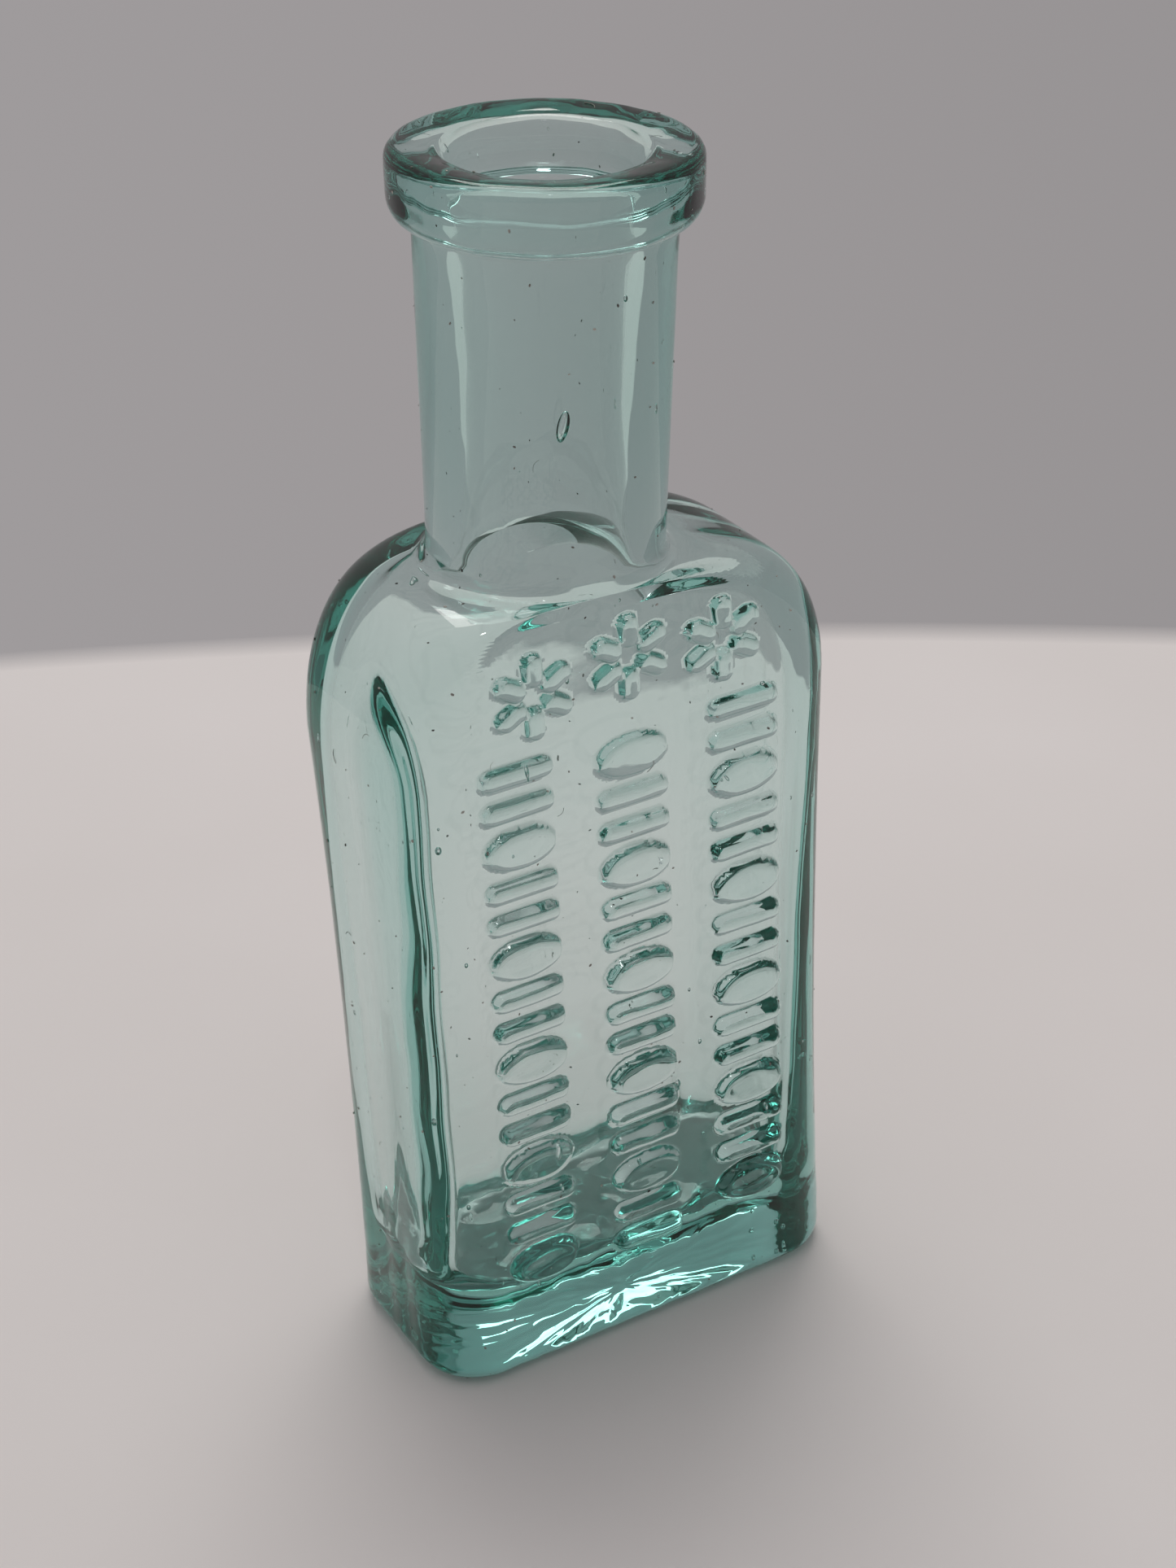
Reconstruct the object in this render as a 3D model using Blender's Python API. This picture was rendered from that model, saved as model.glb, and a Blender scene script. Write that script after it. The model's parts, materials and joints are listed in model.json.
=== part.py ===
"""Small rectangular medicine bottle of aqua glass: a mould-blown body and a lip laid on by hand.

The bottle stands on its base with the base's centre at the origin. The front panel, with its
raised ornament, faces -Y, and +Z is up. The neck leans a little to the right, as a hand-finished
neck does, and the lip sits square on the neck. All lengths are in metres.
"""

import math

import bmesh
import bpy
from mathutils import Matrix, Vector

MM = 0.001

# Driving dimensions of the body, outside. The body is rectangular with rounded corners.
BASE_HALF_WIDTH = 15.3 * MM
WAIST_HALF_WIDTH = 15.2 * MM
SHOULDER_HALF_WIDTH = 15.8 * MM
BASE_HALF_DEPTH = 7.6 * MM
SHOULDER_HALF_DEPTH = 7.4 * MM
CORNER_RADIUS = 4.2 * MM
HEEL_RADIUS = 1.5 * MM

# The arched shoulder, from the straight sides to the foot of the neck.
SHOULDER_HEIGHT = 44.9 * MM
NECK_FOOT_HEIGHT = 55.0 * MM
ARCH_POWER = 2.15
NECK_FILLET = 0.8 * MM

# The neck, along its own leaning axis.
NECK_FOOT_SHIFT = -1.05 * MM
NECK_LEAN = math.radians(2.9)
NECK_FOOT_RADIUS = 7.2 * MM
NECK_TOP_RADIUS = 7.7 * MM
NECK_LENGTH = 20.0 * MM

# The glass wall, thicker at the corners and thickest in the base.
SIDE_WALL = 2.2 * MM
PANEL_WALL = 1.8 * MM
BASE_WALL = 6.2 * MM
CAVITY_CORNER_RADIUS = 3.2 * MM
CAVITY_HEEL_RADIUS = 2.2 * MM
BORE_FOOT_RADIUS = 4.9 * MM
BORE_TOP_RADIUS = 5.5 * MM

# The lip: a collar of glass laid over the neck's end, which stands inside it as a spigot.
LIP_RADIUS = 9.05 * MM
LIP_HEIGHT = 5.0 * MM
LIP_ROUNDING = 1.0 * MM
LIP_UNDERSIDE_HEIGHT = 2.2 * MM
MOUTH_FLARE_HEIGHT = 1.7 * MM
SPIGOT_RADIUS = 6.8 * MM
SPIGOT_LENGTH = 2.8 * MM
JOINT_GAP = 0.3 * MM

# The raised ornament: three columns of beads and reels under a row of three rosettes. Between two
# beads lies a pair of reels, and the middle column stands half a repeat higher than its neighbours.
RELIEF = 0.8 * MM
RELIEF_ROOT = 0.5 * MM
RELIEF_SHOULDER = 0.5
RELIEF_DRAFT = 0.4 * MM
MARK_WIDTH = 5.0 * MM
BEAD_TALLNESS = 2.9 * MM
REEL_TALLNESS = 1.44 * MM
REEL_GAP = 2.3 * MM
REPEAT = 7.8 * MM
REPEATS_PER_COLUMN = 5
COLUMN_SPACING = 7.9 * MM
LOWEST_BEAD = 9.0 * MM
ROSETTE_HEIGHT = 50.0 * MM
ROSETTE_RISE = 0.7 * MM
ROSETTE_SPACING = 6.5 * MM
PETALS = 6
PETAL_FOOT = 0.75 * MM
PETAL_TIP = 2.9 * MM
PETAL_WIDTH = 1.3 * MM

# How finely the round stretches are cut.
CORNER_STEPS = 8
ARCH_STEPS = 9
FILLET_STEPS = 3
BODY_STEPS = 6
NECK_STEPS = 4
LIP_STEPS = 56
ROUND_STEPS = 16
SMALL_ROUND_STEPS = 5

GLASS_COLOUR = (0.62, 0.80, 0.74, 1.0)
GLASS_ROUGHNESS = 0.04
GLASS_IOR = 1.51


def clear_scene():
    for obj in list(bpy.data.objects):
        bpy.data.objects.remove(obj, do_unlink=True)


def glass_material(name):
    """Clear aqua glass."""
    material = bpy.data.materials.new(name)
    material.use_nodes = True
    shader = material.node_tree.nodes["Principled BSDF"]
    shader.inputs["Base Color"].default_value = GLASS_COLOUR
    shader.inputs["Roughness"].default_value = GLASS_ROUGHNESS
    shader.inputs["Metallic"].default_value = 0.0
    shader.inputs["IOR"].default_value = GLASS_IOR
    shader.inputs["Transmission Weight"].default_value = 1.0
    return material


def blend(a, b, share):
    return a + (b - a) * share


def through_three(low, middle, high, share):
    """A parabola through three values, at shares 0, 0.5 and 1."""
    return (
        low * (1 - share) * (1 - 2 * share)
        + 4 * middle * share * (1 - share)
        + high * share * (2 * share - 1)
    )


def half_width(height):
    share = min(height / SHOULDER_HEIGHT, 1.0)
    return through_three(BASE_HALF_WIDTH, WAIST_HALF_WIDTH, SHOULDER_HALF_WIDTH, share)


def half_depth(height):
    share = min(height / SHOULDER_HEIGHT, 1.0)
    return blend(BASE_HALF_DEPTH, SHOULDER_HALF_DEPTH, share)


def section(width, depth, radius):
    """One loop of points round a rounded rectangle of these half sizes, in its own plane.

    Where radius equals both half sizes, the loop is a circle of evenly spaced points.
    """
    roundness = radius / min(width, depth)
    circle = 1.0 if roundness > 0.999 else 0.0
    points = []
    for quarter in range(4):
        side_x = (1, -1, -1, 1)[quarter]
        side_y = (1, 1, -1, -1)[quarter]
        for step in range(CORNER_STEPS + 1):
            even = (step + 0.5) / (CORNER_STEPS + 1)
            turn = (quarter + blend(step / CORNER_STEPS, even, circle)) * math.pi / 2
            x = side_x * (width - radius) + radius * math.cos(turn)
            y = side_y * (depth - radius) + radius * math.sin(turn)
            points.append(Vector((x, y, 0.0)))
    return points


def neck_frame(along, lean_share=1.0):
    """The place and turn of a section at this distance up the neck's leaning axis."""
    lean = Matrix.Rotation(NECK_LEAN * lean_share, 4, "Y")
    foot = Vector((NECK_FOOT_SHIFT, 0.0, NECK_FOOT_HEIGHT))
    axis = Matrix.Rotation(NECK_LEAN, 3, "Y") @ Vector((0.0, 0.0, along))
    return Matrix.Translation(foot + axis) @ lean


def placed(points, frame):
    return [frame @ point for point in points]


def body_section(height, inset_width=0.0, inset_depth=0.0, radius=CORNER_RADIUS):
    """A level section of the straight body, drawn in by the insets."""
    width = half_width(height) - inset_width
    depth = half_depth(height) - inset_depth
    frame = Matrix.Translation((0.0, 0.0, height))
    return placed(section(width, depth, radius), frame)


def shoulder_sections(start, width, depth, radius, top, neck_radius):
    """Sections of an arched shoulder: a quarter of a superellipse seen from the front.

    It runs from the straight sides, at height start, to the fillet under the neck, at height top.
    """
    narrow = neck_radius + NECK_FILLET
    loops = []
    for step in range(1, ARCH_STEPS + 1):
        turn = step / ARCH_STEPS * math.pi / 2
        reach = max(math.cos(turn), 0.0) ** (2 / ARCH_POWER)
        rise = math.sin(turn) ** (2 / ARCH_POWER)
        share = 1 - reach
        a = narrow + (width - narrow) * reach
        b = blend(depth, min(depth, narrow), share)
        corner = blend(radius, min(a, b), share**3)
        height = start + (top - start) * rise
        frame = Matrix.Translation((NECK_FOOT_SHIFT * share, 0.0, height))
        frame = frame @ Matrix.Rotation(NECK_LEAN * share, 4, "Y")
        loops.append(placed(section(a, b, min(corner, a, b)), frame))
    return loops


def fillet_sections(depth, drop, neck_radius):
    """Sections of the fillet between the shoulder and the neck, ending at the neck's own radius."""
    loops = []
    for step in range(1, FILLET_STEPS + 1):
        turn = step / FILLET_STEPS * math.pi / 2
        a = neck_radius + NECK_FILLET * (1 - math.sin(turn))
        b = blend(min(depth, neck_radius + NECK_FILLET), neck_radius, math.sin(turn))
        along = NECK_FILLET * (1 - math.cos(turn)) - drop
        loops.append(placed(section(a, b, min(a, b)), neck_frame(along)))
    return loops


def outer_sections():
    """Loops up the outside of the body, from the base's edge to the top of the neck's spigot."""
    loops = []
    for step in range(4):
        turn = step / 3 * math.pi / 2
        inset = HEEL_RADIUS * (1 - math.sin(turn))
        height = HEEL_RADIUS * (1 - math.cos(turn))
        loops.append(body_section(height, inset, inset, CORNER_RADIUS - inset))
    for step in range(1, BODY_STEPS + 1):
        loops.append(body_section(blend(HEEL_RADIUS, SHOULDER_HEIGHT, step / BODY_STEPS)))
    loops += shoulder_sections(
        SHOULDER_HEIGHT,
        SHOULDER_HALF_WIDTH,
        SHOULDER_HALF_DEPTH,
        CORNER_RADIUS,
        NECK_FOOT_HEIGHT,
        NECK_FOOT_RADIUS,
    )
    loops += fillet_sections(SHOULDER_HALF_DEPTH, 0.0, NECK_FOOT_RADIUS)
    for step in range(1, NECK_STEPS + 1):
        share = step / NECK_STEPS
        radius = blend(NECK_FOOT_RADIUS, NECK_TOP_RADIUS, share)
        along = blend(NECK_FILLET, NECK_LENGTH - JOINT_GAP, share)
        loops.append(placed(section(radius, radius, radius), neck_frame(along)))
    for along in (NECK_LENGTH - JOINT_GAP, NECK_LENGTH + SPIGOT_LENGTH):
        spigot = section(SPIGOT_RADIUS, SPIGOT_RADIUS, SPIGOT_RADIUS)
        loops.append(placed(spigot, neck_frame(along)))
    return loops


def cavity_sections():
    """Loops down the inside, from the spigot's top edge to the rounded floor of the cavity."""
    loops = []
    for step in range(4):
        turn = step / 3 * math.pi / 2
        inset = CAVITY_HEEL_RADIUS * (1 - math.sin(turn))
        height = BASE_WALL + CAVITY_HEEL_RADIUS * (1 - math.cos(turn))
        corner = CAVITY_CORNER_RADIUS - inset * 0.6
        loops.append(body_section(height, SIDE_WALL + inset, PANEL_WALL + inset, corner))
    start = SHOULDER_HEIGHT - SIDE_WALL / 2
    floor_edge = BASE_WALL + CAVITY_HEEL_RADIUS
    for step in range(1, BODY_STEPS + 1):
        height = blend(floor_edge, start, step / BODY_STEPS)
        loops.append(body_section(height, SIDE_WALL, PANEL_WALL, CAVITY_CORNER_RADIUS))
    width = half_width(start) - SIDE_WALL
    depth = half_depth(start) - PANEL_WALL
    top = NECK_FOOT_HEIGHT - SIDE_WALL
    loops += shoulder_sections(start, width, depth, CAVITY_CORNER_RADIUS, top, BORE_FOOT_RADIUS)
    loops += fillet_sections(depth, SIDE_WALL, BORE_FOOT_RADIUS)
    for step in range(1, NECK_STEPS + 1):
        share = step / NECK_STEPS
        radius = blend(BORE_FOOT_RADIUS, BORE_TOP_RADIUS, share)
        along = blend(NECK_FILLET - SIDE_WALL, NECK_LENGTH + SPIGOT_LENGTH, share)
        loops.append(placed(section(radius, radius, radius), neck_frame(along)))
    loops.reverse()
    return loops


def lofted(loops):
    """A closed mesh through all the loops, with the first and the last one filled."""
    mesh = bmesh.new()
    rings = [[mesh.verts.new(point) for point in loop] for loop in loops]
    count = len(rings[0])
    for lower, upper in zip(rings, rings[1:]):
        for i in range(count):
            j = (i + 1) % count
            mesh.faces.new((lower[i], lower[j], upper[j], upper[i]))
    mesh.faces.new(list(reversed(rings[0])))
    mesh.faces.new(rings[-1])
    return mesh


def new_object(name, mesh, material=None, sharp_angle=math.radians(40)):
    data = bpy.data.meshes.new(name)
    mesh.to_mesh(data)
    mesh.free()
    data.shade_smooth()
    data.set_sharp_from_angle(angle=sharp_angle)
    obj = bpy.data.objects.new(name, data)
    bpy.context.scene.collection.objects.link(obj)
    if material:
        data.materials.append(material)
    return obj


def bead_outline(x, z):
    """An oval lying across the column."""
    outline = []
    for step in range(ROUND_STEPS):
        turn = step / ROUND_STEPS * 2 * math.pi
        across = MARK_WIDTH / 2 * math.cos(turn)
        upward = BEAD_TALLNESS / 2 * math.sin(turn)
        outline.append((x + across, z + upward))
    return outline


def round_ended(start, end, width):
    """A bar from one point to another, with half-round ends."""
    along = (end - start).normalized()
    aside = Vector((-along.y, along.x))
    reach = width / 2
    outline = []
    for centre, way in ((end - along * reach, 1), (start + along * reach, -1)):
        for step in range(SMALL_ROUND_STEPS):
            turn = (step / (SMALL_ROUND_STEPS - 1) - 0.5) * math.pi
            point = centre + (along * math.cos(turn) + aside * math.sin(turn)) * reach * way
            outline.append((point.x, point.y))
    return outline


def reel_outline(x, z):
    """A straight bar lying across the column."""
    half = MARK_WIDTH / 2
    return round_ended(Vector((x - half, z)), Vector((x + half, z)), REEL_TALLNESS)


def rosette_outlines(x, z):
    """Straight petals round a point."""
    outlines = []
    centre = Vector((x, z))
    for petal in range(PETALS):
        turn = (petal + 0.5) / PETALS * 2 * math.pi
        out = Vector((math.cos(turn), math.sin(turn)))
        start = centre + out * PETAL_FOOT
        outlines.append(round_ended(start, centre + out * PETAL_TIP, PETAL_WIDTH))
    return outlines


def ornament_outlines():
    """Every raised mark on the front panel, as outlines in x and z."""
    outlines = []
    for column in (-1, 0, 1):
        x = column * COLUMN_SPACING
        half_repeat = REPEAT / 2
        bead_foot = LOWEST_BEAD + half_repeat * (1 - abs(column))
        reel_foot = LOWEST_BEAD + half_repeat * abs(column)
        for row in range(REPEATS_PER_COLUMN):
            outlines.append(bead_outline(x, bead_foot + row * REPEAT))
            for side in (-1, 1):
                z = reel_foot + row * REPEAT + side * REEL_GAP / 2
                outlines.append(reel_outline(x, z))
    for place in (-1, 0, 1):
        z = ROSETTE_HEIGHT + ROSETTE_RISE * (1 - abs(place))
        outlines += rosette_outlines(place * ROSETTE_SPACING, z)
    return outlines


def raised_mark(mesh, outline):
    """One mark: its outline rises from a root inside the glass and is drawn in to a softer face."""
    middle_x = sum(x for x, _ in outline) / len(outline)
    middle_z = sum(z for _, z in outline) / len(outline)
    surface = half_depth(middle_z)
    rings = []
    levels = [
        (RELIEF_ROOT - surface, 0.0),
        (-surface - RELIEF * RELIEF_SHOULDER, RELIEF_DRAFT / 4),
        (-surface - RELIEF, RELIEF_DRAFT),
    ]
    for y, draft in levels:
        ring = []
        for x, z in outline:
            away = Vector((x - middle_x, z - middle_z))
            drawn = away * (1 - draft / away.length)
            ring.append(mesh.verts.new((middle_x + drawn.x, y, middle_z + drawn.y)))
        rings.append(ring)
    count = len(outline)
    for lower, upper in zip(rings, rings[1:]):
        for i in range(count):
            j = (i + 1) % count
            mesh.faces.new((lower[i], lower[j], upper[j], upper[i]))
    mesh.faces.new(list(reversed(rings[0])))
    mesh.faces.new(rings[-1])


def ornament_shapes():
    """The raised marks as one helper object, which the body is joined with."""
    mesh = bmesh.new()
    for outline in ornament_outlines():
        raised_mark(mesh, outline)
    bmesh.ops.recalc_face_normals(mesh, faces=mesh.faces)
    shapes = new_object("ornament_shapes", mesh)
    shapes.hide_render = True
    shapes.display_type = "WIRE"
    return shapes


def make_body(material):
    """The blown body: outside, spigot and cavity as one closed wall, with the ornament raised on it."""
    body = new_object("blown_body", lofted(outer_sections() + cavity_sections()), material)
    union = body.modifiers.new("raise_ornament", "BOOLEAN")
    union.operation = "UNION"
    union.solver = "EXACT"
    union.object = ornament_shapes()
    return body


def elliptic_arc(centre, radii, start, end, steps):
    """Points (radius, height) on an ellipse, from one angle in degrees to another, both included."""
    points = []
    for step in range(steps + 1):
        turn = math.radians(blend(start, end, step / steps))
        points.append((centre[0] + radii[0] * math.cos(turn), centre[1] + radii[1] * math.sin(turn)))
    return points


def lip_profile():
    """The collar's section, outwards from its seat on the neck, over the top and down the bore."""
    crown = LIP_RADIUS - LIP_ROUNDING
    rebate_radius = SPIGOT_RADIUS + JOINT_GAP
    rebate_height = SPIGOT_LENGTH + JOINT_GAP
    bore_radius = BORE_TOP_RADIUS + 0.1 * MM
    flare_height = LIP_HEIGHT - MOUTH_FLARE_HEIGHT
    profile = [(rebate_radius, 0.0), (NECK_TOP_RADIUS, 0.0)]
    underside = (crown, LIP_UNDERSIDE_HEIGHT)
    profile += elliptic_arc(underside, (LIP_ROUNDING, 1.2 * LIP_ROUNDING), -60, 0, 3)
    profile += elliptic_arc((crown, LIP_HEIGHT - LIP_ROUNDING), (LIP_ROUNDING,) * 2, 0, 90, 4)
    flare_radii = (crown - bore_radius, MOUTH_FLARE_HEIGHT)
    profile += elliptic_arc((crown, flare_height), flare_radii, 90, 180, 5)[1:]
    profile += [(bore_radius, rebate_height), (rebate_radius, rebate_height)]
    return profile


def make_lip(material):
    """The laid-on lip, turned about the neck's leaning axis."""
    mesh = bmesh.new()
    rings = []
    for step in range(LIP_STEPS):
        turn = step / LIP_STEPS * 2 * math.pi
        direction = Vector((math.cos(turn), math.sin(turn), 0.0))
        rings.append([mesh.verts.new(direction * r + Vector((0, 0, z))) for r, z in lip_profile()])
    count = len(rings[0])
    for this, following in zip(rings, rings[1:] + rings[:1]):
        for i in range(count):
            j = (i + 1) % count
            mesh.faces.new((this[i], following[i], following[j], this[j]))
    bmesh.ops.recalc_face_normals(mesh, faces=mesh.faces)
    lip = new_object("laid_on_lip", mesh, material)
    axis = bpy.data.objects.new("neck_axis", None)
    bpy.context.scene.collection.objects.link(axis)
    axis.location = (NECK_FOOT_SHIFT, 0.0, NECK_FOOT_HEIGHT)
    axis.rotation_euler = (0.0, NECK_LEAN, 0.0)
    lip.parent = axis
    lip.location = (0.0, 0.0, NECK_LENGTH)
    return lip


clear_scene()
make_body(glass_material("body_glass"))
make_lip(glass_material("lip_glass"))
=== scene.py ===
import json
import math

import bmesh
import bpy
import numpy as np
from mathutils import Matrix, Vector

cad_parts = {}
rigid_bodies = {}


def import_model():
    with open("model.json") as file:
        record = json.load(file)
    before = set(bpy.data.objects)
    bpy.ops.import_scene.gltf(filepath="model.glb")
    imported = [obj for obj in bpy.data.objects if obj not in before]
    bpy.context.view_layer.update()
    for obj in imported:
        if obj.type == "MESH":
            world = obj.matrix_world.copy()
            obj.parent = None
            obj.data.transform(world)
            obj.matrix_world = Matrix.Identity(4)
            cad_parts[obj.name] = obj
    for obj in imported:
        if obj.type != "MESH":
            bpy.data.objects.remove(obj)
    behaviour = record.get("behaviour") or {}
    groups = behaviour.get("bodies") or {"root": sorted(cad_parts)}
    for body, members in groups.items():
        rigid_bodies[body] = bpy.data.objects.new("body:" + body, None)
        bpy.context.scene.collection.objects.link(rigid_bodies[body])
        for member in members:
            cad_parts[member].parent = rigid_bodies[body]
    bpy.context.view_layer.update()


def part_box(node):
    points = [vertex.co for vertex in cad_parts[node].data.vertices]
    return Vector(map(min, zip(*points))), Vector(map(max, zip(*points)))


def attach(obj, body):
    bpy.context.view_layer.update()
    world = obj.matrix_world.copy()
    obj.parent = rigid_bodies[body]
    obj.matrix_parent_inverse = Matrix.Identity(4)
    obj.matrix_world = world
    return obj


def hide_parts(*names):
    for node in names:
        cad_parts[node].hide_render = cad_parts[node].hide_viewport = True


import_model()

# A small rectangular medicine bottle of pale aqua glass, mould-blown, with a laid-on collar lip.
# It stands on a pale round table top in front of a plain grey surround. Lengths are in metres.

MM = 0.001
BODY_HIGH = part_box("blown_body")[1]
LIP_LOW, LIP_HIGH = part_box("laid_on_lip")

# The outside of the body. Its box comes from the frame.
SHOULDER_HALF_WIDTH = BODY_HIGH.x
BASE_HALF_WIDTH = SHOULDER_HALF_WIDTH - 0.5 * MM
WAIST_HALF_WIDTH = SHOULDER_HALF_WIDTH - 0.6 * MM
BASE_HALF_DEPTH = BODY_HIGH.y
SHOULDER_HALF_DEPTH = BASE_HALF_DEPTH - 0.2 * MM
CORNER_RADIUS = 4.2 * MM
HEEL_RADIUS = 1.5 * MM
BASE_HOLLOW = 0.35 * MM
SHOULDER_HEIGHT = 44.9 * MM
NECK_FOOT_HEIGHT = 55.0 * MM
ARCH_POWER = 2.15
NECK_FILLET = 0.9 * MM

# The neck and the lip, along the neck's own leaning axis.
NECK_FOOT_SHIFT = -1.05 * MM
NECK_LEAN = math.radians(2.9)
NECK_FOOT_RADIUS = 7.2 * MM
NECK_TOP_RADIUS = 7.65 * MM
NECK_LENGTH = 20.9 * MM
COLLAR_RADIUS = (LIP_HIGH.y - LIP_LOW.y) / 2
COLLAR_HEIGHT = 4.1 * MM
COLLAR_ROUNDING = 0.8 * MM
COLLAR_UNDERCUT = 1.3 * MM
COLLAR_FILLET = 0.5 * MM
RIM_WIDTH = 1.9 * MM
RIM_DROP = 0.3 * MM
MOUTH_DEPTH = 1.5 * MM

# The inside.
LEFT_WALL = 2.1 * MM
BASE_RIGHT_WALL = 2.8 * MM
SHOULDER_RIGHT_WALL = 1.6 * MM
FLOOR_PANEL_WALL = 2.2 * MM
PANEL_WALL = 1.45 * MM
SHOULDER_PANEL_WALL = 2.3 * MM
BASE_WALL = 6.2 * MM
CAVITY_CORNER_RADIUS = 3.2 * MM
FLOOR_CORNER_RADIUS = 3.6 * MM
CAVITY_HEEL_RADIUS = 2.0 * MM
FLOOR_CORNER_DRAW = 0.7
CAVITY_SHOULDER_HEIGHT = SHOULDER_HEIGHT - 1.5 * MM
CAVITY_TOP_HEIGHT = NECK_FOOT_HEIGHT - 1.6 * MM
CAVITY_NECK_FILLET = 3.4 * MM
BORE_FOOT_RADIUS = 4.9 * MM
BORE_WAIST_RADIUS = 4.65 * MM
BORE_TOP_RADIUS = 5.5 * MM

# The raised ornament on the front panel: three columns of beads and reels under three rosettes.
RELIEF = 0.85 * MM
SLOPE_WIDTH = 0.72 * MM
MARK_WIDTH = 5.0 * MM
COLUMN_SPACING = 7.9 * MM
LOWEST_BEAD = 9.0 * MM
REPEAT = 7.8 * MM
BEAD_TALLNESS = 2.9 * MM
REEL_GAP = 2.3 * MM
BEADS_PER_COLUMN = 5
ROSETTE_HEIGHT = 50.0 * MM
ROSETTE_RISE = 0.7 * MM
ROSETTE_SPACING = 6.5 * MM
ROSETTE_WIDTH = 5.8 * MM
PETALS = 6
PETAL_START = 0.46

# The fold of glass that runs down the inside of the left front corner.
FOLD_SIDE = -13.7 * MM
FOLD_HALF_WIDTH = 1.3 * MM
FOLD_SWAY = 0.35 * MM
FOLD_THICKNESS = 1.6 * MM

# How far blown glass strays from its mould's shape, and over what distance each way of straying
# repeats itself.
INNER_WANDER, INNER_WANDER_LENGTH = 0.45 * MM, 15.0 * MM
INNER_RIPPLE, INNER_RIPPLE_LENGTH = 0.13 * MM, 4.0 * MM
OUTER_WANDER, OUTER_WANDER_LENGTH = 0.10 * MM, 11.0 * MM
OUTER_RIPPLE, OUTER_RIPPLE_LENGTH = 0.028 * MM, 2.6 * MM
DRAW_LINES, DRAW_LINES_LENGTH = 0.26 * MM, 1.3 * MM
LINES_INSIDE = 0.15
HEEL_RIPPLE, HEEL_RIPPLE_LENGTH = 0.13 * MM, 2.2 * MM
LIP_RIPPLE, LIP_RIPPLE_LENGTH = 0.16 * MM, 2.6 * MM
FLOOR_LUMPS, FLOOR_LUMPS_LENGTH = 1.5 * MM, 3.4 * MM
UNDERSIDE_RIPPLE, UNDERSIDE_RIPPLE_LENGTH = 0.3 * MM, 1.5 * MM

# The one large bubble, in the neck's front wall, and the seeds and dust.
SEEDS_PER_AREA = 16000.0
SEED_SIZE = 0.22 * MM
BUBBLE_PLACE = (-2.7 * MM, -5.75 * MM, 65.6 * MM)
BUBBLE_SIZES = (0.36 * MM, 0.30 * MM, 0.95 * MM)
BUBBLE_TILT = math.radians(14)
SPECKS_PER_AREA = 60000.0
SPECK_SIZE = 0.11 * MM
FIBRES_PER_AREA = 2600.0
FIBRE_LENGTH = 0.9 * MM
FIBRE_RADIUS = 0.022 * MM

# How finely the glass is drawn, and how much finer under the ornament.
FRONT_HALF_SPAN = WAIST_HALF_WIDTH - CORNER_RADIUS
FRONT_STEPS = 34
CORNER_STEPS = 14
SIDE_STEPS = 12
BACK_STEPS = 24
BODY_RINGS = 60
ARCH_RINGS = 40
NECK_RINGS = 36
BORE_RINGS = 24
CAVITY_RINGS = 44
CAVITY_ARCH_RINGS = 28
CAVITY_FILLET_RINGS = 12
FLOOR_EDGE_RINGS = 10
FLOOR_RINGS = 9
FINE_CUTS = 3
FINE_FOOT = 3.0 * MM

# The glass itself: what it takes out of white light over its length, and how it bends light.
GLASS_IOR = 1.52
GLASS_TINT = (0.20, 0.69, 0.63, 1.0)
GLASS_DENSITY = 100.0
DUST_TONES = ((0.05, 0.05, 0.045, 1.0), (0.55, 0.53, 0.48, 1.0))
TABLE_TONES = ((0.76, 0.735, 0.72, 1.0), (0.80, 0.775, 0.765, 1.0))


def blend(a, b, share):
    return a + (b - a) * share


def through_three(low, middle, high, share):
    """A parabola through three values, at shares 0, 0.5 and 1."""
    return (
        low * (1 - share) * (1 - 2 * share)
        + 4 * middle * share * (1 - share)
        + high * share * (2 * share - 1)
    )


def shares(count):
    """Evenly spaced shares above 0, up to 1."""
    return [(step + 1) / count for step in range(count)]


# Rings: each is a place, the half sizes and the corner radius of a rounded rectangle, and the side
# of the glass that it is on.


def level(height, shift=0.0, lean=0.0):
    return Matrix.Translation((shift, 0.0, height)) @ Matrix.Rotation(lean, 4, "Y")


def on_neck(along):
    """A place on the neck's leaning axis, this far above the neck's foot."""
    return level(NECK_FOOT_HEIGHT, NECK_FOOT_SHIFT, NECK_LEAN) @ Matrix.Translation((0, 0, along))


def body_half_width(height):
    share = min(height / SHOULDER_HEIGHT, 1.0)
    return through_three(BASE_HALF_WIDTH, WAIST_HALF_WIDTH, SHOULDER_HALF_WIDTH, share)


def body_half_depth(height):
    share = min(height / SHOULDER_HEIGHT, 1.0)
    return blend(BASE_HALF_DEPTH, SHOULDER_HALF_DEPTH, share)


def panel_wall(height):
    """The panels' wall, which thickens towards the floor and into the shoulder."""
    up = min(height / SHOULDER_HEIGHT, 1.0)
    upper = max(0.0, (up - 0.55) / 0.45)
    lower = max(0.0, 1 - up / 0.33)
    wall = blend(PANEL_WALL, SHOULDER_PANEL_WALL, upper**2)
    return blend(wall, FLOOR_PANEL_WALL, lower)


def cavity_corner(height):
    """The cavity's corners, rounder near the floor."""
    lower = max(0.0, 1 - height / (0.33 * SHOULDER_HEIGHT))
    return blend(CAVITY_CORNER_RADIUS, FLOOR_CORNER_RADIUS, min(1.8 * lower, 1.0))


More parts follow.
